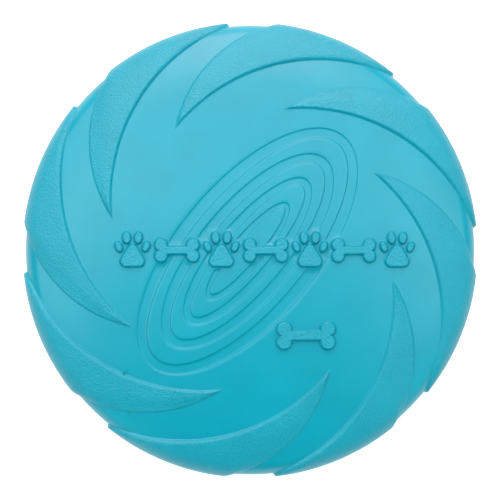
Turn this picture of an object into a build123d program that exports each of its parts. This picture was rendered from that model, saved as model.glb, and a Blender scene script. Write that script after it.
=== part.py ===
"""Flying disc for dogs, 180 mm across: one soft rubber moulding, modelled feature by feature.

The disc lies flat with its open side down. Z is its axis, and Z = 0 is the face it rests on.
X runs along the row of raised paws and bones, and Y points up when that row is read.
"""
from build123d import *
import math
import os

# ---- Driving dimensions, in millimetres and degrees ----

DISC_DIAMETER = 180.0        # over the swirl blades
BLADE_STAND = 1.4            # how far a blade stands off the skin
BLADE_FOOT = 1.0             # height of a blade's lower end above the resting face

CROWN_HEIGHT = 22.0          # top of the domed plate, without the raised motifs
CROWN_SPHERE = 400.0         # radius of the shallow sphere that the plate belongs to
CROWN_EDGE = 66.0            # distance from the axis where the plate passes into the shoulder
SHOULDER_EDGE = 83.5         # where the shoulder passes into the round of the rim
SHOULDER_SLOPE = 20.0        # how steeply the skin falls there
WALL = 2.5                   # thickness of the plate and the shoulder

BEAD_TOP = 9.0               # height where the shoulder passes into the thick rim bead
BEAD_INNER = 81.5            # radius of the bead's inner face
BEAD_CORNER = 1.0            # round between the bead's inner face and its resting face
BEAD_HOLLOW = 2.0            # round between the bead's inner face and the underside of the dome

BLADE_COUNT = 8
BLADE_TIP_ANGLE = 32.5       # direction of the first blade's tip from +X
BLADE_TIP_RADIUS = 55.7      # distance of a tip from the disc's axis
LONG_EDGE_RADIUS = 74.1      # a blade's inner edge is an arc of this radius
LONG_EDGE_SWEEP = 79.6       # clockwise from the tip to where that arc passes the outline
SHORT_EDGE_RADIUS = 54.8     # a blade's outer edge is an arc of this radius
SHORT_EDGE_SWEEP = 43.6
OUTLINE_RADIUS = 92.0        # a circle just outside the disc, where both arcs end

OVAL_CENTRE = (-2.0, -0.7)
OVAL_TILT = 49.9             # direction of the ovals' long axis from +X
GROOVE_DEPTH = 0.5
# Each groove lies between two ovals: (outer half axes), (inner half axes)
OVAL_GROOVES = [
    ((58.4, 26.8), (54.6, 22.2)),
    ((46.9, 18.6), (43.2, 14.6)),
    ((35.9, 11.7), (32.8, 8.5)),
    ((23.9, 6.2), (21.9, 4.1)),
]

MOTIF_STAND = 1.7            # how far the paws and bones stand off the plate
ROW_START = -53.3            # left end of the row of paws and bones
ROW_HEIGHT = -0.5            # Y of the row's middle line
ROW_COUNT = 7                # paw, bone, paw and so on
ROW_GAP = 1.8                # clear space between neighbours in the row
PAW_WIDTH = 13.4             # over the outer toes
PAW_CORNERS = [(0, 0.1), (-2.5, -4.2), (2.5, -4.2)]    # middles of the pad's three rounds
PAW_ROUND = 2.2              # radius of those rounds
INNER_TOE = (2.25, 4.9, 6, 1.6, 2.3)     # middle, outward lean and half axes of an ellipse
OUTER_TOE = (5.3, 1.4, 24, 1.35, 2.1)
ROW_BONE = (17.3, 9.2)       # length and width over the knuckles
KNUCKLE_SHARE = 0.27         # a bone's knuckle radius as a share of its width
SHAFT_SHARE = 1.5            # its shaft's width as a share of the knuckles' half spacing
SMALL_BONE = (23.0, 11.0)
SMALL_BONE_PLACE = (20.6, -33.5)

# ---- Sizes that follow from them ----

RIM_WIDEST = DISC_DIAMETER / 2 - BLADE_STAND
CROWN_ANGLE = math.degrees(math.asin(CROWN_EDGE / CROWN_SPHERE))
COS_CROWN = math.cos(math.radians(CROWN_ANGLE))
SIN_SHOULDER = math.sin(math.radians(SHOULDER_SLOPE))
COS_SHOULDER = math.cos(math.radians(SHOULDER_SLOPE))
SHOULDER_ROUND = (SHOULDER_EDGE - CROWN_EDGE) / (SIN_SHOULDER - CROWN_EDGE / CROWN_SPHERE)
RIM_ROUND = (RIM_WIDEST - SHOULDER_EDGE) / (1 - SIN_SHOULDER)
SHOULDER_FALL = CROWN_SPHERE * (1 - COS_CROWN) + SHOULDER_ROUND * (COS_CROWN - COS_SHOULDER)
LIP_ROUND = CROWN_HEIGHT - SHOULDER_FALL - RIM_ROUND * COS_SHOULDER
SHOULDER_CENTRE = CROWN_EDGE - SHOULDER_ROUND * CROWN_EDGE / CROWN_SPHERE
HOLLOW_SLOPE = math.degrees(math.asin((BEAD_INNER - SHOULDER_CENTRE) / (SHOULDER_ROUND - WALL)))
ABOVE_ALL = CROWN_HEIGHT + 10


# ---- Profiles ----

def dome_curve(stand_off, end_slope):
    """The outer skin from the axis over the shoulder to a slope, moved out by stand_off."""
    start = (0, CROWN_HEIGHT + stand_off)
    crown = JernArc(start, (1, 0), CROWN_SPHERE + stand_off, -CROWN_ANGLE)
    return JernArc(crown @ 1, crown % 1, SHOULDER_ROUND + stand_off, CROWN_ANGLE - end_slope)


def skin_curve(stand_off):
    """The whole outer skin, over the dome, round the widest point and under the lip."""
    dome = dome_curve(stand_off, SHOULDER_SLOPE)
    rim = JernArc(dome @ 1, dome % 1, RIM_ROUND + stand_off, SHOULDER_SLOPE - 90)
    return JernArc(rim @ 1, rim % 1, LIP_ROUND + stand_off, -90)


def wall_section():
    """Half of the disc's section: domed plate, shoulder and thick rim bead."""
    with BuildSketch() as section:
        with BuildLine():
            lip = skin_curve(0)
            hollow = dome_curve(-WALL, HOLLOW_SLOPE)
            corner_start = (BEAD_INNER + BEAD_CORNER, 0)
            Line(lip @ 1, corner_start)
            corner = JernArc(corner_start, (-1, 0), BEAD_CORNER, -90)
            Line(corner @ 1, hollow @ 1)
            Line((0, CROWN_HEIGHT), (0, CROWN_HEIGHT - WALL))
        make_face()
        fillet(section.vertices().sort_by_distance(hollow @ 1)[0], BEAD_HOLLOW)
    return section.sketch


def layer_section(bottom, top):
    """Half section of the layer that lies between two distances from the outer skin."""
    with BuildSketch() as section:
        with BuildLine():
            lower_lip = skin_curve(bottom)
            upper_lip = skin_curve(top)
            Line((0, CROWN_HEIGHT + bottom), (0, CROWN_HEIGHT + top))
            Line(lower_lip @ 1, upper_lip @ 1)
        make_face()
    return section.sketch


def keep_between(inner, outer, low, high):
    """Keep only what the current section has in this range of radius and height."""
    with Locations(((inner + outer) / 2, (low + high) / 2)):
        Rectangle(outer - inner, high - low, mode=Mode.INTERSECT)


# ---- Outlines, seen from above ----

def blade_outline():
    """A crescent from its tip out past the rim, between a long and a short arc."""
    tip = Vector(BLADE_TIP_RADIUS, 0)
    long_end = Vector(OUTLINE_RADIUS, 0).rotate(Axis.Z, -LONG_EDGE_SWEEP)
    short_end = Vector(OUTLINE_RADIUS, 0).rotate(Axis.Z, -SHORT_EDGE_SWEEP)
    with BuildSketch() as outline:
        with BuildLine():
            RadiusArc(tip, long_end, LONG_EDGE_RADIUS)
            RadiusArc(tip, short_end, SHORT_EDGE_RADIUS)
            RadiusArc(short_end, long_end, OUTLINE_RADIUS)
        make_face()
    return outline.sketch


def paw_outline():
    """A paw print: a rounded triangular pad under four toes."""
    with BuildSketch() as outline:
        with Locations(*PAW_CORNERS):
            Circle(PAW_ROUND)
        make_hull()
        for side in (-1, 1):
            for along, up, lean, half_width, half_height in (INNER_TOE, OUTER_TOE):
                with Locations(Location((side * along, up), -side * lean)):
                    Ellipse(half_width, half_height)
    return outline.sketch


def bone_outline(length, width):
    """A bone: a straight shaft between two pairs of round knuckles."""
    knuckle = width * KNUCKLE_SHARE
    across = width / 2 - knuckle
    along = length / 2 - knuckle
    with BuildSketch() as outline:
        Rectangle(2 * along, across * SHAFT_SHARE)
        with GridLocations(2 * along, 2 * across, 2, 2):
            Circle(knuckle)
    return outline.sketch


def place_motifs():
    """Label, outline and place of every raised motif: the row from the left, then one larger bone."""
    outlines = {"paw": (paw_outline(), PAW_WIDTH), "bone": (bone_outline(*ROW_BONE), ROW_BONE[0])}
    motifs = []
    left = ROW_START
    for step in range(ROW_COUNT):
        kind = "bone" if step % 2 else "paw"
        outline, width = outlines[kind]
        motifs.append((f"{kind}_{step // 2 + 1}", outline, (left + width / 2, ROW_HEIGHT)))
        left += width + ROW_GAP
    motifs.append(("small_bone", bone_outline(*SMALL_BONE), SMALL_BONE_PLACE))
    return motifs


def export(part, label):
    """Name a finished piece and write it to its own file."""
    part.label = label
    export_step(part, f"parts/{label}.step")


os.makedirs("parts", exist_ok=True)
MOTIFS = place_motifs()

# ---- Domed plate, with four sunk oval grooves that stop at the raised motifs ----

with BuildPart() as grooves:
    with BuildSketch(Plane.XZ):
        add(layer_section(-GROOVE_DEPTH, BLADE_STAND))
        keep_between(0, CROWN_EDGE, 0, ABOVE_ALL)
    revolve(axis=Axis.Z)
    with BuildSketch():
        for outer, inner in OVAL_GROOVES:
            with Locations(Location(OVAL_CENTRE, OVAL_TILT)):
                Ellipse(*outer)
                Ellipse(*inner, mode=Mode.SUBTRACT)
        for label, outline, place in MOTIFS:
            with Locations(place):
                add(outline, mode=Mode.SUBTRACT)
    extrude(amount=ABOVE_ALL, mode=Mode.INTERSECT)

with BuildPart() as flight_plate:
    with BuildSketch(Plane.XZ):
        add(wall_section())
        keep_between(0, CROWN_EDGE, 0, ABOVE_ALL)
    revolve(axis=Axis.Z)
    add(grooves.part, mode=Mode.SUBTRACT)
export(flight_plate.part, "flight_plate")

# ---- Shoulder: the falling part of the dome between the plate and the rim ----

with BuildPart() as shoulder:
    with BuildSketch(Plane.XZ):
        add(wall_section())
        keep_between(CROWN_EDGE, OUTLINE_RADIUS, BEAD_TOP, ABOVE_ALL)
    revolve(axis=Axis.Z)
export(shoulder.part, "shoulder")

# ---- Rim bead: the thick lower edge that the disc rests on and is caught by ----

with BuildPart() as rim_bead:
    with BuildSketch(Plane.XZ):
        add(wall_section())
        keep_between(CROWN_EDGE, OUTLINE_RADIUS, 0, BEAD_TOP)
    revolve(axis=Axis.Z)
export(rim_bead.part, "rim_bead")

# ---- Swirl blades: raised crescents from the plate over the shoulder to the rim ----

for number in range(BLADE_COUNT):
    direction = BLADE_TIP_ANGLE + number * 360 / BLADE_COUNT
    with BuildPart() as blade:
        with BuildSketch(Plane.XZ):
            add(layer_section(0, BLADE_STAND))
            keep_between(0, OUTLINE_RADIUS, BLADE_FOOT, ABOVE_ALL)
        revolve(axis=Axis.Z)
        with BuildSketch(Plane.XY.rotated((0, 0, direction))):
            add(blade_outline())
        extrude(amount=ABOVE_ALL, mode=Mode.INTERSECT)
    export(blade.part, f"swirl_blade_{number + 1}")

# ---- Raised motifs on the plate ----

for label, outline, place in MOTIFS:
    with BuildPart() as motif:
        with BuildSketch(Plane.XZ):
            add(layer_section(0, MOTIF_STAND))
            keep_between(0, CROWN_EDGE, 0, ABOVE_ALL)
        revolve(axis=Axis.Z)
        with BuildSketch():
            with Locations(place):
                add(outline)
        extrude(amount=ABOVE_ALL, mode=Mode.INTERSECT)
    export(motif.part, label)
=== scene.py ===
"""Looks of a soft rubber flying disc for dogs: its skin, swirl blades and raised motifs.

Shapes are worked out in millimetres, with the record's axes, and turned into metres when a mesh is made.
"""
import math

import bpy
import numpy as np
from mathutils import Matrix, Vector


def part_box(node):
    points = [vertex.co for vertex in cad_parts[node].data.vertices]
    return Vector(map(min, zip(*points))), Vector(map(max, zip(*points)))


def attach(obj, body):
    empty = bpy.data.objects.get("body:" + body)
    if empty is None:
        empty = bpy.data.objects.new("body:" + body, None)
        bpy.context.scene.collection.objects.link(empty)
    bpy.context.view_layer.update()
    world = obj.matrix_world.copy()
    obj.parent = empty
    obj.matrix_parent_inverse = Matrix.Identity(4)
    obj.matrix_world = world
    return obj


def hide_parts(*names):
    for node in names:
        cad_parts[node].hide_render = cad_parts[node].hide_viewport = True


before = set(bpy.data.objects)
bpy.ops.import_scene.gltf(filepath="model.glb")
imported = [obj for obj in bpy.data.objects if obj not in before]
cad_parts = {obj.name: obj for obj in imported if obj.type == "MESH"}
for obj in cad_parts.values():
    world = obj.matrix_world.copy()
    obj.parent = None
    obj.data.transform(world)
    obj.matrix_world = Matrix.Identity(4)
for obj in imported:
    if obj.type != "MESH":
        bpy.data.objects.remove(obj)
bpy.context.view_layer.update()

MM = 0.001


def low(node):
    """Lowest corner of a CAD node, in millimetres."""
    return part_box(node)[0] / MM


def high(node):
    """Highest corner of a CAD node, in millimetres."""
    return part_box(node)[1] / MM


# ---- Sizes of the moulding, in millimetres and degrees ----

CROWN_HEIGHT = high("flight_plate").z     # top of the domed plate
CROWN_SPHERE = 400.0                      # radius of its shallow sphere
CROWN_EDGE = high("flight_plate").x       # where the plate passes into the shoulder
SHOULDER_EDGE = 83.5                      # where the shoulder passes into the round of the rim
SHOULDER_SLOPE = math.radians(20)         # how steeply the skin falls there
RIM_WIDEST = high("rim_bead").x           # radius of the skin at its widest
WALL = 2.5
BEAD_TOP = high("rim_bead").z             # where the shoulder passes into the rim bead
BEAD_INNER = 81.5
BEAD_CORNER = 1.0                         # round between the bead's inner face and its resting face
BEAD_HOLLOW = 2.0                         # round between that inner face and the dome's underside

OVAL_CENTRE = (-2.0, -0.7)
OVAL_TILT = math.radians(49.9)
# The sunk ovals from the inside out: half axes of each groove's inner and outer edge
OVAL_GROOVES = [
    ((21.9, 4.1), (23.9, 6.2)),
    ((32.8, 8.5), (35.9, 11.7)),
    ((43.2, 14.6), (46.9, 18.6)),
    ((54.6, 22.2), (58.4, 26.8)),
]
GROOVE_DEPTH = 0.5
GROOVE_EDGE = 0.55                        # width of the soft step at a groove's edge
GROOVE_END = (0.45, 1.35)                 # distances from a motif over which a groove fades in

BLADE_COUNT = 8
BLADE_TIP_ANGLE = math.radians(32.5)
BLADE_TIP = 55.7                          # distance of a blade's tip from the axis
LONG_EDGE = (74.1, math.radians(79.6))    # arc radius, and clockwise sweep to the outline circle
SHORT_EDGE = (54.8, math.radians(43.6))
OUTLINE_RADIUS = 92.0
BLADE_STAND = 1.4                         # height of the long edge over most of its length
TIP_STAND = 1.0                           # its height at the tip
TIP_RISE = 60.0                           # distance over which it grows from one to the other
SHORT_STEP = 0.5                          # height of the step at the short edge
SHORT_RAMP = (9.0, 2.5)                   # width of the slope from that step up, inboard and at the rim
RAMP_NARROWS = (74.0, RIM_WIDEST - 1)     # distances from the axis over which it narrows
RAMP_SHARE = 0.6                          # most of the blade's width that it takes
BLADE_FOOT = 1.0                          # height of the blade's lower end over the resting face
LONG_WALL = 1.0                           # width of the steep wall at the long edge
LONG_WALL_OUTSIDE = 0.25                  # share of that width that lies outside the edge line
SHORT_WALL = 1.1                          # width of the small step at the short edge
FOOT_STEP = 1.6                           # width of the slope at its lower end

# Whiskers left by the mould's air vents: distance from the axis, direction, height over the skin, lean
VENT_NIBS = [
    (69.4, 223.9, 0.6, (1.2, 1.1, 1.2)),
    (80.6, 233.4, 0.0, (0.1, 1.4, 0.8)),
]
NIB_BLADE = 6                             # the blade that both stand at
NIB_SHAPE = [(0.0, 0.36), (0.3, 0.28), (0.8, 0.2), (0.96, 0.12)]    # share of the length, radius

MOTIF_STAND = 1.7
MOTIF_EDGE = 1.0                          # width of the rounded wall round a motif
PAW_CORNERS = [(0.0, 0.1), (-2.5, -4.2), (2.5, -4.2)]
PAW_ROUND = 2.2
INNER_TOE = (2.25, 4.9, 6.0, 1.6, 2.3)    # middle, outward lean in degrees, half axes
OUTER_TOE = (5.3, 1.4, 24.0, 1.35, 2.1)
KNUCKLE_SHARE = 0.27
SHAFT_SHARE = 1.5

SINK = 0.03                               # a raised piece's hem dips this far under the skin
ROOT = 0.35                               # depth of its hidden lower side
SKIRT = 0.5                               # how far its mesh runs out past its edge line
FLASH = (0.13, 0.35)                      # height and half width of the mould's parting line

# ---- Fineness of the meshes: counts, and spacing in millimetres ----

AROUND = 384                              # points in each ring of the plate, shoulder and bead
PLATE_OUTER_RINGS = 24                    # rings between the largest groove and the plate's edge
PLATE_UNDER_RINGS = 14
CORNER_POINTS = 9
SHOULDER_SPACING = 0.55
BEAD_SPACING = 0.5
PARTING_SPACING = 0.13                    # on the parting line's ridge
BLADE_ROWS = 170
BLADE_LINE_POINTS = 900                   # points along a blade's edges while its rows are laid out
BLADE_BEFORE_TIP = 6.0                    # these points start this far inside the tip
BLADE_PAST_FOOT = 0.3                     # and end this far past the foot
BLADE_BLUNT = 0.25                        # width of the first row, at the tip
CROWD_REACH = 1.4                         # a row's points are crowded this near to both edges
CROWD_SHARE = 0.36                        # but over no more than this share of the row
EDGE_POINTS = 260                         # points along an edge that distances are measured to
EDGE_BEFORE_TIP = 4.0                     # and these start this far inside the tip
MOTIF_CELL = 0.17
MOTIF_MARGIN = 1.0


def smooth(value):
    """0 below 0 and 1 above 1, with a soft step between."""
    value = np.clip(value, 0.0, 1.0)
    return value * value * (3.0 - 2.0 * value)


# ---- The skin: a line from the axis down to the resting face, turned about Z ----

def skin_runs():
    """Arcs of the skin from the axis to the resting face: length so far, r, z, slope and radius."""
    edges = ((CROWN_EDGE, math.asin(CROWN_EDGE / CROWN_SPHERE)), (SHOULDER_EDGE, SHOULDER_SLOPE),
             (RIM_WIDEST, math.pi / 2))
    runs = []
    run, r, z, slope = 0.0, 0.0, CROWN_HEIGHT, 0.0
    for next_r, next_slope in edges:
        radius = (next_r - r) / (math.sin(next_slope) - math.sin(slope))
        runs.append((run, r, z, slope, radius))
        z += radius * (math.cos(next_slope) - math.cos(slope))
        run, r, slope = run + radius * (next_slope - slope), next_r, next_slope
    runs.append((run, r, z, slope, z))
    return runs, run + z * math.pi / 2


RUNS, SKIN_LENGTH = skin_runs()
SHOULDER_RUN, RIM_RUN, WIDEST_RUN = (arc[0] for arc in RUNS[1:])
LIP_ROUND = RUNS[3][4]


def skin(run, out=0.0):
    """Radius and height of the skin at a distance along it from the axis, moved out along its normal."""
    run = np.asarray(run, float)
    r, z, slope = np.zeros_like(run), np.zeros_like(run), np.zeros_like(run)
    for start, r0, z0, angle, radius in RUNS:
        here = run >= start
        turned = angle + (run[here] - start) / radius
        r[here] = r0 + radius * (np.sin(turned) - math.sin(angle))
        z[here] = z0 + radius * (np.cos(turned) - math.cos(angle))
        slope[here] = turned
    return r + out * np.sin(slope), z + out * np.cos(slope)


RUN_TABLE = np.linspace(0.0, SKIN_LENGTH, 4001)
R_TABLE, Z_TABLE = skin(RUN_TABLE)
TO_WIDEST = RUN_TABLE <= WIDEST_RUN


def run_at_radius(r):
    """Distance along the skin, above its widest point, where its radius is r."""
    return np.interp(r, R_TABLE[TO_WIDEST], RUN_TABLE[TO_WIDEST])


def run_at_height(z):
    """Distance along the skin where its height is z."""
    return np.interp(-z, -Z_TABLE, RUN_TABLE)


def crown_height(x, y):
    """Height of the plate's domed top, without its grooves."""
    return CROWN_HEIGHT - CROWN_SPHERE + np.sqrt(CROWN_SPHERE ** 2 - x ** 2 - y ** 2)


def parting_line(run):
    """Height of the fine ridge that the mould leaves round the widest part."""
    height, half_width = FLASH
    return height * np.exp(-((run - WIDEST_RUN) / half_width) ** 2)


# ---- Mesh tools ----

def make_piece(name, points, faces, material, nodes):
    """A smooth-shaded mesh from points in millimetres, riding on the root in place of CAD nodes."""
    mesh = bpy.data.meshes.new(name)
    mesh.from_pydata(np.asarray(points) * MM, [], faces)
    mesh.polygons.foreach_set("use_smooth", [True] * len(mesh.polygons))
    mesh.set_sharp_from_angle(angle=math.radians(50))
    mesh.materials.append(material)
    piece = bpy.data.objects.new(name, mesh)
    bpy.context.scene.collection.objects.link(piece)
    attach(piece, "root")
    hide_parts(*nodes)


def band_faces(rows, columns, wrap):
    """Quads of a grid of points numbered row by row; wrap joins its last column to its first."""
    faces = []
    for row in range(rows - 1):
        for column in range(columns if wrap else columns - 1):
            after = (column + 1) % columns
            here, there = row * columns, (row + 1) * columns
            faces.append((here + column, here + after, there + after, there + column))
    return faces


def turned_rings(profile):
    """Rings made by turning points (r, z) about Z."""
    angles = np.arange(AROUND) * 2 * math.pi / AROUND
    return [np.column_stack((r * np.cos(angles), r * np.sin(angles), np.full(AROUND, z)))
            for r, z in profile]


def closed_band(profile):
    """Points and faces of a closed ring-shaped body with this closed profile."""
    rings = turned_rings(profile)
    points = np.vstack(rings)
    faces = band_faces(len(rings), AROUND, wrap=True)
    last = (len(rings) - 1) * AROUND
    for column in range(AROUND):
        after = (column + 1) % AROUND
        faces.append((last + column, last + after, after, column))
    return points, [face[::-1] for face in faces]


# ---- Outlines of the raised motifs, as signed distances, negative inside ----

def segment_distance(x, y, start, end):
    """Distance to a straight segment."""
    dx, dy = end[0] - start[0], end[1] - start[1]
    along = np.clip(((x - start[0]) * dx + (y - start[1]) * dy) / (dx * dx + dy * dy), 0, 1)
    return np.hypot(x - start[0] - along * dx, y - start[1] - along * dy)


def ellipse_distance(x, y, place, lean, half_axes):
    """Distance to an ellipse, close to exact near its edge."""
    turn = math.radians(lean)
    dx, dy = x - place[0], y - place[1]
    u = (dx * math.cos(turn) + dy * math.sin(turn)) / half_axes[0]
    v = (dy * math.cos(turn) - dx * math.sin(turn)) / half_axes[1]
    level = np.hypot(u, v)
    steepness = np.hypot(u / half_axes[0], v / half_axes[1])
    return level * (level - 1) / np.maximum(steepness, 1e-6)


def paw_distance(x, y):
    """Distance to a paw print: a rounded triangle under four toes."""
    corners = PAW_CORNERS
    inside = np.full(np.shape(x), True)
    nearest = np.full(np.shape(x), np.inf)
    for start, end in zip(corners, corners[1:] + corners[:1]):
        nearest = np.minimum(nearest, segment_distance(x, y, start, end))
        inside &= (end[0] - start[0]) * (y - start[1]) - (end[1] - start[1]) * (x - start[0]) > 0
    distance = np.where(inside, -nearest, nearest) - PAW_ROUND
    for side in (-1, 1):
        for along, up, lean, half_width, half_height in (INNER_TOE, OUTER_TOE):
            toe = ellipse_distance(x, y, (side * along, up), -side * lean, (half_width, half_height))
            distance = np.minimum(distance, toe)
    return distance


def bone_distance(x, y, length, width):
    """Distance to a bone: a shaft between two pairs of knuckles, with soft inner corners."""
    soften = 0.5
    knuckle = width * KNUCKLE_SHARE
    across, along = width / 2 - knuckle, length / 2 - knuckle
    x, y = np.abs(x), np.abs(y)
    shaft = np.maximum(x - along, y - across * SHAFT_SHARE / 2)
    knuckles = np.hypot(x - along, y - across) - knuckle
    blend = np.clip(0.5 + (knuckles - shaft) / (2 * soften), 0, 1)
    return knuckles + (shaft - knuckles) * blend - soften * blend * (1 - blend)


def motif_distance(node):
    """Distance function of a raised motif where its CAD node lies, and the node's middle."""
    lowest, highest = low(node), high(node)
    middle = (lowest + highest) / 2
    length, width = highest.x - lowest.x, highest.y - lowest.y
    if node.startswith("paw"):
        heel = lowest.y + PAW_ROUND - PAW_CORNERS[1][1]
        return (lambda x, y: paw_distance(x - middle.x, y - heel)), middle, (length, width)
    return (lambda x, y: bone_distance(x - middle.x, y - middle.y, length, width)), middle, (length, width)


MOTIFS = {node: motif_distance(node) for node in sorted(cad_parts) if "paw" in node or "bone" in node}


# ---- Domed plate with its sunk ovals ----

def oval_ring(half_axes, grow, angles):
    """Points of a tilted oval, with its half axes made longer by grow."""
    u, v = (half_axes[0] + grow) * np.cos(angles), (half_axes[1] + grow) * np.sin(angles)
    x = OVAL_CENTRE[0] + u * math.cos(OVAL_TILT) - v * math.sin(OVAL_TILT)
    y = OVAL_CENTRE[1] + u * math.sin(OVAL_TILT) + v * math.cos(OVAL_TILT)
    return np.column_stack((x, y))


def plate_top():
    """Rings of the plate's top from the middle out, and how deep the groove is at each."""
    angles = np.arange(AROUND) * 2 * math.pi / AROUND
    edge_steps = np.linspace(-0.5, 0.5, 7)
    rings, depths = [], []

    def add(ring, depth):
        rings.append(ring)
        depths.append(depth)

    first = OVAL_GROOVES[0][0]
    for share in (0.1, 0.25, 0.4, 0.55, 0.7, 0.82, 0.91):
        add(oval_ring((first[0] * share, first[1] * share), 0, angles), 0)
    for number, (inner, outer) in enumerate(OVAL_GROOVES):
        for step in edge_steps:
            add(oval_ring(inner, step * GROOVE_EDGE, angles), smooth(step + 0.5))
        for share in (0.25, 0.5, 0.75):
            middle = [a + (b - a) * share for a, b in zip(inner, outer)]
            add(oval_ring(middle, 0, angles), 1)
        for step in edge_steps:
            add(oval_ring(outer, step * GROOVE_EDGE, angles), smooth(0.5 - step))
        if number + 1 < len(OVAL_GROOVES):
            beyond = OVAL_GROOVES[number + 1][0]
            for share in (0.2, 0.4, 0.6, 0.8):
                add(oval_ring([a + (b - a) * share for a, b in zip(outer, beyond)], 0, angles), 0)
    last = rings[-1]
    rim = CROWN_EDGE * np.column_stack((np.cos(angles + OVAL_TILT), np.sin(angles + OVAL_TILT)))
    for share in np.linspace(0, 1, PLATE_OUTER_RINGS + 1)[1:]:
        add(last + (rim - last) * share, 0)
    return rings, depths


def make_plate(material):
    """The domed plate: oval rings on top, plain rings below, a seam wall to the shoulder."""
    rings, depths = plate_top()
    flat = np.vstack(rings)
    nearest = np.min([distance(flat[:, 0], flat[:, 1]) for distance, _, _ in MOTIFS.values()], axis=0)
    fade = smooth((nearest - GROOVE_END[0]) / (GROOVE_END[1] - GROOVE_END[0]))
    depth = GROOVE_DEPTH * np.repeat(depths, AROUND) * fade
    top = np.column_stack((flat, crown_height(flat[:, 0], flat[:, 1]) - depth))
    centre = (*OVAL_CENTRE, crown_height(*OVAL_CENTRE))

    angles = np.arange(AROUND) * 2 * math.pi / AROUND + OVAL_TILT
    below = []
    for share in np.linspace(1, 0, PLATE_UNDER_RINGS + 1)[:-1]:
        r, z = skin(np.array(SHOULDER_RUN * share), -WALL)
        r = CROWN_EDGE if share == 1 else r
        below.append(np.column_stack((r * np.cos(angles), r * np.sin(angles), np.full(AROUND, z))))
    points = np.vstack([top] + below + [[centre], [(0, 0, CROWN_HEIGHT - WALL)]])
    rows = len(rings) + len(below)
    faces = band_faces(rows, AROUND, wrap=True)
    top_centre, under_centre = rows * AROUND, rows * AROUND + 1
    for column in range(AROUND):
        after = (column + 1) % AROUND
        faces.append((top_centre, after, column))
        faces.append((under_centre, (rows - 1) * AROUND + column, (rows - 1) * AROUND + after))
    make_piece("flight_plate_skin", points, [face[::-1] for face in faces],
               material, ["flight_plate"])


# ---- Shoulder and rim bead ----

def turn_corner(before, corner, after, radius):
    """Points (r, z) of a round in place of a corner."""
    before, corner, after = (np.array(point, float) for point in (before, corner, after))
    back = (before - corner) / np.linalg.norm(before - corner)
    ahead = (after - corner) / np.linalg.norm(after - corner)
    reach = radius / math.tan(math.acos(back @ ahead) / 2)
    share = np.linspace(0, 1, CORNER_POINTS)[:, None]
    start, end = corner + back * reach, corner + ahead * reach
    return (1 - share) ** 2 * start + 2 * share * (1 - share) * corner + share ** 2 * end


def inner_wall():
    """The disc's inside from the resting face up to the plate, as points (r, z)."""
    runs = np.linspace(RIM_RUN, SHOULDER_RUN, 60)
    hollow = np.column_stack(skin(runs, -WALL))
    meet = np.array((BEAD_INNER, np.interp(-BEAD_INNER, -hollow[:, 0], hollow[:, 1])))
    inward = hollow[hollow[:, 0] < BEAD_INNER - BEAD_HOLLOW]
    foot = (BEAD_INNER, 0)
    return np.vstack((
        [(RIM_WIDEST - LIP_ROUND, 0)],
        turn_corner((RIM_WIDEST, 0), foot, meet, BEAD_CORNER),
        turn_corner(foot, meet, inward[0], BEAD_HOLLOW),
        inward,
    ))


def split_at_height(line, z):
    """A line that only climbs near z, cut there into its lower and its upper part."""
    first = next(i for i, point in enumerate(line) if point[1] > z)
    share = (z - line[first - 1][1]) / (line[first][1] - line[first - 1][1])
    cut = line[first - 1] + share * (line[first] - line[first - 1])
    return np.vstack((line[:first], [cut])), np.vstack(([cut], line[first:]))


def outer_points(start, end, spacing):
    """Points (r, z) of the skin between two runs, with the parting line's ridge on it."""
    runs = np.linspace(start, end, max(2, math.ceil((end - start) / spacing)))
    r, z = skin(runs, parting_line(runs))
    return np.column_stack((r, z))


def make_shoulder(material):
    """The falling part of the dome between the plate and the rim bead."""
    _, inner = split_at_height(inner_wall(), BEAD_TOP)
    outer = outer_points(SHOULDER_RUN, run_at_height(BEAD_TOP), SHOULDER_SPACING)
    inner[-1][0] = CROWN_EDGE
    points, faces = closed_band(np.vstack((outer, inner)))
    make_piece("shoulder_skin", points, faces, material, ["shoulder"])


def make_rim_bead(material):
    """The thick lower edge with its flat resting face."""
    inner, _ = split_at_height(inner_wall(), BEAD_TOP)
    ridge = 3 * FLASH[1]
    outer = np.vstack((
        outer_points(run_at_height(BEAD_TOP), WIDEST_RUN - ridge, BEAD_SPACING),
        outer_points(WIDEST_RUN - ridge, WIDEST_RUN + ridge, PARTING_SPACING)[1:],
        outer_points(WIDEST_RUN + ridge, SKIN_LENGTH, BEAD_SPACING)[1:-1],
    ))
    points, faces = closed_band(np.vstack((outer, inner)))
    make_piece("rim_bead_skin", points, faces, material, ["rim_bead"])


# ---- Swirl blades ----

def edge_centre(edge):
    """Middle of a blade edge's arc, in a frame where the blade's tip lies on +X."""
    radius, sweep = edge
    tip = np.array((BLADE_TIP, 0.0))
    end = OUTLINE_RADIUS * np.array((math.cos(sweep), -math.sin(sweep)))
    chord = end - tip
    length = np.linalg.norm(chord)
    inward = np.array((chord[1], -chord[0])) / length
    return (tip + end) / 2 + inward * math.sqrt(radius ** 2 - length ** 2 / 4)


def edge_line(edge, runs):
    """Clockwise angle from the tip of a blade edge where it crosses each distance along the skin."""
    centre = edge_centre(edge)
    away = np.linalg.norm(centre)
    r, _ = skin(np.minimum(runs, WIDEST_RUN))
    cosine = (r ** 2 + away ** 2 - edge[0] ** 2) / (2 * r * away)
    return -math.atan2(centre[1], centre[0]) - np.arccos(np.clip(cosine, -1, 1))


def on_skin(run, angle, out=0.0):
    """Points on the skin in the blade's own frame."""
    r, z = skin(run, out)
    return np.column_stack((r * np.cos(angle), -r * np.sin(angle), z))


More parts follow.
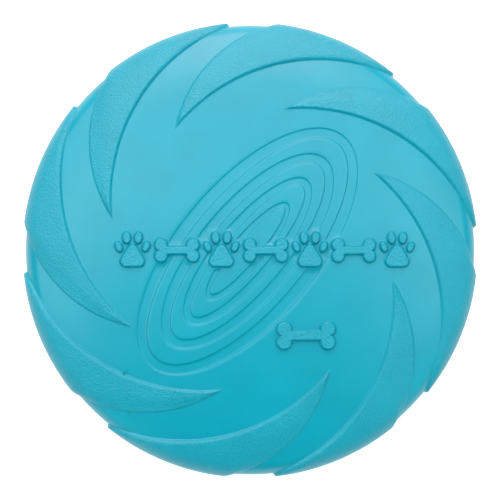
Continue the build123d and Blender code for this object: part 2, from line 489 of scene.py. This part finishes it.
def grown_edge(edge, runs, side):
    """The edge line moved out of the blade by SKIRT over the skin, as angles at the same runs."""
    angle = edge_line(edge, runs)
    r, _ = skin(runs)
    step_run, step_turn = np.gradient(runs), np.gradient(angle) * r
    length = np.hypot(step_run, step_turn)
    moved_run = runs - side * SKIRT * step_turn / length
    moved_angle = angle + side * SKIRT * step_run / length / r
    return np.interp(runs, moved_run, moved_angle)


def distance_to_line(points, line):
    """Distance of each point to a line of many short segments in space."""
    nearest = np.full(len(points), np.inf)
    for start, end in zip(line[:-1], line[1:]):
        step = end - start
        along = np.clip((points - start) @ step / (step @ step), 0, 1)
        nearest = np.minimum(nearest, np.linalg.norm(points - start - along[:, None] * step, axis=1))
    return nearest


def cross_spacing(length):
    """Shares of a cross row, crowded near both ends where the walls are."""
    crowd = min(CROWD_REACH, CROWD_SHARE * length)
    ends, middle = 15, 20
    start = np.linspace(0, crowd, ends, endpoint=False)
    between = np.linspace(crowd, length - crowd, middle, endpoint=False)
    end = np.linspace(length - crowd, length, ends + 1)
    return np.concatenate((start, between, end)) / length


def blade_grid():
    """Rows of (run, angle) that fill a blade, from just past its tip down to its foot."""
    start_run = run_at_radius(BLADE_TIP - BLADE_BEFORE_TIP)
    end_run = run_at_height(BLADE_FOOT) + BLADE_PAST_FOOT
    runs = np.linspace(start_run, end_run, BLADE_LINE_POINTS)
    long_edge = grown_edge(LONG_EDGE, runs, 1)
    short_edge = grown_edge(SHORT_EDGE, runs, -1)
    first_run = runs[np.argmax(long_edge - short_edge > BLADE_BLUNT / BLADE_TIP)]
    grid = []
    for share in np.linspace(0, 1, BLADE_ROWS):
        long_run = first_run + (end_run - first_run) * share
        short_run = first_run + (end_run - first_run) * (1 - (1 - share) ** 2)
        short = np.array((short_run, np.interp(short_run, runs, short_edge)))
        long = np.array((long_run, np.interp(long_run, runs, long_edge)))
        r, _ = skin(np.array((short_run + long_run) / 2))
        length = math.hypot(long[0] - short[0], (long[1] - short[1]) * r)
        shares = cross_spacing(length)[:, None]
        grid.append(short + (long - short) * shares)
    return np.array(grid)


def blade_height(grid):
    """Height of the blade over the skin at each grid point."""
    run, angle = grid[..., 0].ravel(), grid[..., 1].ravel()
    points = on_skin(run, angle)
    line_runs = np.linspace(run_at_radius(BLADE_TIP - EDGE_BEFORE_TIP), SKIN_LENGTH, EDGE_POINTS)
    to_long = distance_to_line(points, on_skin(line_runs, edge_line(LONG_EDGE, line_runs)))
    to_short = distance_to_line(points, on_skin(line_runs, edge_line(SHORT_EDGE, line_runs)))
    to_long = np.where(angle < edge_line(LONG_EDGE, run), to_long, -to_long)
    to_short = np.where(angle > edge_line(SHORT_EDGE, run), to_short, -to_short)
    from_tip = np.linalg.norm(points - on_skin(run_at_radius(np.array([BLADE_TIP])), np.zeros(1)), axis=1)
    stand = TIP_STAND + (BLADE_STAND - TIP_STAND) * smooth(from_tip / TIP_RISE)
    ramp = np.interp(skin(run)[0], RAMP_NARROWS, SHORT_RAMP)
    ramp = np.minimum(ramp, RAMP_SHARE * np.maximum(to_short + to_long, SKIRT))
    slope = SHORT_STEP + (stand - SHORT_STEP) * smooth(to_short / ramp)
    climb = np.clip(to_long / LONG_WALL + LONG_WALL_OUTSIDE, 0, 1)
    walls = smooth(to_short / SHORT_WALL + 0.5) * (climb + smooth(climb)) / 2
    foot = smooth((run_at_height(BLADE_FOOT) - run) / FOOT_STEP)
    return slope * walls * foot + parting_line(run) * walls - SINK


def vent_nib(distance, direction, out, lean):
    """Points and faces of one small closed whisker."""
    sides = 10
    r, z = skin(run_at_radius(distance), out)
    direction = math.radians(direction)
    foot = np.array((r * math.cos(direction), r * math.sin(direction), float(z)))
    lean = np.array(lean)
    across = np.cross(lean, (0, 0, 1))
    across = across / np.linalg.norm(across)
    over = np.cross(lean, across) / np.linalg.norm(lean)
    angles = np.arange(sides) * 2 * math.pi / sides
    round_points = np.cos(angles)[:, None] * across + np.sin(angles)[:, None] * over
    rings = [foot + share * lean + radius * round_points for share, radius in NIB_SHAPE]
    points = np.vstack(rings + [[foot], [foot + lean]])
    faces = band_faces(len(rings), sides, wrap=True)
    last, foot_number, end_number = (len(rings) - 1) * sides, len(rings) * sides, len(rings) * sides + 1
    for column in range(sides):
        after = (column + 1) % sides
        faces.append((foot_number, after, column))
        faces.append((end_number, last + column, last + after))
    return points, faces


def make_blades(material):
    """The eight blades: one closed mesh, turned to each place."""
    grid = blade_grid()
    rows, columns = grid.shape[:2]
    run, angle = grid[..., 0].ravel(), grid[..., 1].ravel()
    top = on_skin(run, angle, blade_height(grid))
    root = on_skin(run, angle, -ROOT)
    count = rows * columns
    upper = band_faces(rows, columns, wrap=False)
    lower = [tuple(count + corner for corner in face[::-1]) for face in upper]
    border = ([(0, c) for c in range(columns - 1)]
              + [(r, columns - 1) for r in range(rows - 1)]
              + [(rows - 1, c) for c in range(columns - 1, 0, -1)]
              + [(r, 0) for r in range(rows - 1, 0, -1)])
    edge = [row * columns + column for row, column in border]
    walls = [(b, a, a + count, b + count) for a, b in zip(edge, edge[1:] + edge[:1])]
    points = np.vstack((top, root))
    for number in range(BLADE_COUNT):
        turn = BLADE_TIP_ANGLE + number * 2 * math.pi / BLADE_COUNT
        turned = points @ np.array(Matrix.Rotation(-turn, 3, "Z"))
        faces = upper + lower + walls
        if number + 1 == NIB_BLADE:
            for nib in VENT_NIBS:
                nib_points, nib_faces = vent_nib(*nib)
                faces = faces + [tuple(len(turned) + corner for corner in face) for face in nib_faces]
                turned = np.vstack((turned, nib_points))
        node = f"swirl_blade_{number + 1}"
        make_piece(f"{node}_skin", turned, faces, material, [node])


# ---- Raised paws and bones ----

def make_motif(node, material):
    """A raised motif with rounded edges, on a fine square grid over the plate."""
    distance, middle, (length, width) = MOTIFS[node]
    xs = np.arange(-length / 2 - MOTIF_MARGIN, length / 2 + MOTIF_MARGIN, MOTIF_CELL) + middle.x
    ys = np.arange(-width / 2 - MOTIF_MARGIN, width / 2 + MOTIF_MARGIN, MOTIF_CELL) + middle.y
    x, y = np.meshgrid(xs, ys)
    inside = -distance(x, y)
    base = crown_height(x, y)
    top = base + MOTIF_STAND * smooth(inside / MOTIF_EDGE + 0.5) - SINK
    near = inside > -SKIRT - MOTIF_CELL
    kept = near[:-1, :-1] & near[1:, :-1] & near[:-1, 1:] & near[1:, 1:]
    rows, columns = x.shape
    number = np.full(x.shape, -1)
    used = np.zeros(x.shape, bool)
    for down in (0, 1):
        for across in (0, 1):
            used[down:rows - 1 + down, across:columns - 1 + across] |= kept
    number[used] = np.arange(used.sum())
    count = int(used.sum())
    points = np.vstack((
        np.column_stack((x[used], y[used], top[used])),
        np.column_stack((x[used], y[used], base[used] - ROOT)),
    ))
    faces = []
    padded = np.pad(kept, 1)
    for row, column in zip(*np.nonzero(kept)):
        a, b = number[row, column], number[row, column + 1]
        c, d = number[row + 1, column + 1], number[row + 1, column]
        faces.append((a, b, c, d))
        faces.append((d + count, c + count, b + count, a + count))
        sides = (((-1, 0), (a, b)), ((0, 1), (b, c)), ((1, 0), (c, d)), ((0, -1), (d, a)))
        for (down, across), (p, q) in sides:
            if not padded[row + 1 + down, column + 1 + across]:
                faces.append((q, p, p + count, q + count))
    make_piece(f"{node}_skin", points, faces, material, [node])


# ---- Materials ----

TURQUOISE = (0.0, 0.278, 0.372)
SHADES = (0.96, 1.04)                     # darkest and palest share of that colour in the mottling
SPECK_SHADE = 0.7
RUBBER_IOR = 1.44
ROUGHNESS_SPREAD = 0.02
WAVE_DEPTH = 0.00004
# Each noise: scale per metre, detail
MOTTLE_NOISE = (55, 4)
ROUGHNESS_NOISE = (140, 3)
WAVE_NOISE = (45, 2)
GRAIN_NOISE = (1350, 3)
SPECK_CELLS = 70                          # cells per metre, each with a speck in its middle
SPECK_EDGE = (0.012, 0.03)                # soft edge of a speck, as shares of a cell


def rubber(name, roughness, grain_depth):
    """Turquoise rubber: faint mottling, sparse dark specks, a soft waviness and a fine moulded grain."""
    material = bpy.data.materials.new(name)
    material.use_nodes = True
    nodes, links = material.node_tree.nodes, material.node_tree.links
    shader = nodes["Principled BSDF"]
    place = nodes.new("ShaderNodeTexCoord").outputs["Object"]

    def noise(scale, detail):
        node = nodes.new("ShaderNodeTexNoise")
        node.inputs["Scale"].default_value = scale
        node.inputs["Detail"].default_value = detail
        links.new(place, node.inputs["Vector"])
        return node.outputs["Fac"]

    def scaled(value, low_in, high_in, low_out, high_out):
        node = nodes.new("ShaderNodeMapRange")
        for socket, number in (("From Min", low_in), ("From Max", high_in),
                               ("To Min", low_out), ("To Max", high_out)):
            node.inputs[socket].default_value = number
        links.new(value, node.inputs["Value"])
        return node.outputs["Result"]

    def bump(height, distance, normal):
        node = nodes.new("ShaderNodeBump")
        node.inputs["Distance"].default_value = distance
        links.new(height, node.inputs["Height"])
        if normal is not None:
            links.new(normal, node.inputs["Normal"])
        return node.outputs["Normal"]

    def mixed(fac, first, second):
        node = nodes.new("ShaderNodeMix")
        node.data_type = "RGBA"
        links.new(fac, node.inputs["Factor"])
        for socket, value in (("A", first), ("B", second)):
            target = next(s for s in node.inputs if s.name == socket and s.type == "RGBA")
            if isinstance(value, tuple):
                target.default_value = (*value, 1)
            else:
                links.new(value, target)
        return next(s for s in node.outputs if s.type == "RGBA")

    darker, paler = (tuple(shade * part for part in TURQUOISE) for shade in SHADES)
    mottle = mixed(scaled(noise(*MOTTLE_NOISE), 0.3, 0.7, 0, 1), darker, paler)
    cells = nodes.new("ShaderNodeTexVoronoi")
    cells.inputs["Scale"].default_value = SPECK_CELLS
    links.new(place, cells.inputs["Vector"])
    speck = scaled(cells.outputs["Distance"], *SPECK_EDGE, 1, 0)
    speckled = mixed(speck, mottle, tuple(SPECK_SHADE * part for part in TURQUOISE))
    links.new(speckled, shader.inputs["Base Color"])

    glossiest, dullest = roughness - ROUGHNESS_SPREAD, roughness + ROUGHNESS_SPREAD
    links.new(scaled(noise(*ROUGHNESS_NOISE), 0.3, 0.7, glossiest, dullest), shader.inputs["Roughness"])
    shader.inputs["IOR"].default_value = RUBBER_IOR

    normal = bump(noise(*WAVE_NOISE), WAVE_DEPTH, None)
    normal = bump(noise(*GRAIN_NOISE), grain_depth, normal)
    links.new(normal, shader.inputs["Normal"])
    return material


# ---- Floor, lights and camera ----

LIGHT_DISTANCE = 1.3                      # in metres from the middle of the floor
WARM = (1.5, 1, 1)                        # tint of the lights at the back
COOL = (0.3, 1, 1)                        # tint of the fill lights in front
DIM = 0.03                                # light from the surroundings, which the camera sees as white


def make_floor():
    """A plain pale floor under the disc, bright enough to show as white."""
    half = 1.2
    mesh = bpy.data.meshes.new("floor")
    corners = [(-half, -half, 0), (half, -half, 0), (half, half, 0), (-half, half, 0)]
    mesh.from_pydata(corners, [], [(0, 1, 2, 3)])
    floor = bpy.data.objects.new("floor", mesh)
    bpy.context.scene.collection.objects.link(floor)
    material = bpy.data.materials.new("pale_floor")
    material.use_nodes = True
    shader = material.node_tree.nodes["Principled BSDF"]
    shader.inputs["Base Color"].default_value = (0.5, 0.5, 0.5, 1)
    shader.inputs["Roughness"].default_value = 0.9
    shader.inputs["Emission Color"].default_value = (1, 1, 1, 1)
    shader.inputs["Emission Strength"].default_value = 0.75
    mesh.materials.append(material)


def aim(obj, target, up):
    """Turns a light or a camera, which looks along its -Z, towards a point."""
    back = (obj.location - Vector(target)).normalized()
    right = Vector(up).cross(back).normalized()
    obj.rotation_euler = Matrix((right, back.cross(right), back)).transposed().to_euler()


def softbox(name, lean, direction, width, height, radiance, colour=(1, 1, 1)):
    """A soft light round the disc: its lean from upright, its direction and its two angular sizes."""
    light = bpy.data.lights.new(name, "AREA")
    light.shape = "RECTANGLE"
    light.size = 2 * LIGHT_DISTANCE * math.tan(math.radians(width / 2))
    light.size_y = 2 * LIGHT_DISTANCE * math.tan(math.radians(height / 2))
    light.energy = radiance * math.pi * light.size * light.size_y
    light.color = colour
    lamp = bpy.data.objects.new(name, light)
    bpy.context.scene.collection.objects.link(lamp)
    lean, direction = math.radians(lean), math.radians(direction)
    lamp.location = LIGHT_DISTANCE * Vector((
        math.sin(lean) * math.cos(direction), math.sin(lean) * math.sin(direction), math.cos(lean)))
    aim(lamp, Vector((0, 0, 0)), (0, 0, 1))


def make_lights():
    """Softboxes overhead and in an arch from the left over the back to the right, and two fills in front."""
    softbox("back_softbox", 53, 90, 34, 40, 5.0, WARM)
    softbox("low_back_softbox", 80, 90, 50, 14, 1.4, WARM)
    softbox("back_left_softbox", 48, 133, 26, 30, 2.9)
    softbox("back_right_softbox", 48, 47, 26, 30, 2.4)
    softbox("left_softbox", 40, 180, 30, 30, 3.4)
    softbox("right_softbox", 40, 0, 30, 30, 3.0)
    softbox("overhead_softbox", 6, 100, 20, 20, 1.9)
    softbox("upper_back_softbox", 23, 90, 28, 20, 0.8, WARM)
    softbox("upper_left_softbox", 22, 150, 20, 20, 2.8)
    softbox("upper_right_softbox", 22, 30, 20, 20, 1.9)
    softbox("front_left_fill", 65, 225, 40, 40, 1.85, COOL)
    softbox("front_right_fill", 65, 315, 40, 40, 2.0, COOL)
    world = bpy.data.worlds.new("studio")
    world.use_nodes = True
    nodes, links = world.node_tree.nodes, world.node_tree.links
    background = nodes["Background"]
    strength = nodes.new("ShaderNodeMapRange")
    strength.inputs["To Min"].default_value = DIM
    strength.inputs["To Max"].default_value = 1.0
    links.new(nodes.new("ShaderNodeLightPath").outputs["Is Camera Ray"], strength.inputs["Value"])
    links.new(strength.outputs["Result"], background.inputs["Strength"])
    background.inputs["Color"].default_value = (1, 1, 1, 1)
    bpy.context.scene.world = world


def make_camera():
    """A long lens almost straight over the disc, a few degrees off towards its lower left."""
    distance, lean, towards = 0.75, math.radians(2.5), math.radians(196)
    frame_width = 0.1979
    camera = bpy.data.cameras.new("camera")
    camera.angle = 2 * math.atan(frame_width / 2 / distance)
    eye = bpy.data.objects.new("camera", camera)
    bpy.context.scene.collection.objects.link(eye)
    target = Vector((-0.00045, -0.00013, 0.004))
    eye.location = target + distance * Vector((
        math.sin(lean) * math.cos(towards), math.sin(lean) * math.sin(towards), math.cos(lean)))
    aim(eye, target, (0, 1, 0))
    bpy.context.scene.camera = eye


smooth_rubber = rubber("smooth_turquoise_rubber", roughness=0.34, grain_depth=0.00002)
grained_rubber = rubber("grained_turquoise_rubber", roughness=0.38, grain_depth=0.0004)
make_plate(smooth_rubber)
make_shoulder(smooth_rubber)
make_rim_bead(smooth_rubber)
make_blades(grained_rubber)
for motif_node in MOTIFS:
    make_motif(motif_node, grained_rubber)
make_floor()
make_lights()
make_camera()
bpy.context.scene.view_settings.view_transform = "Standard"
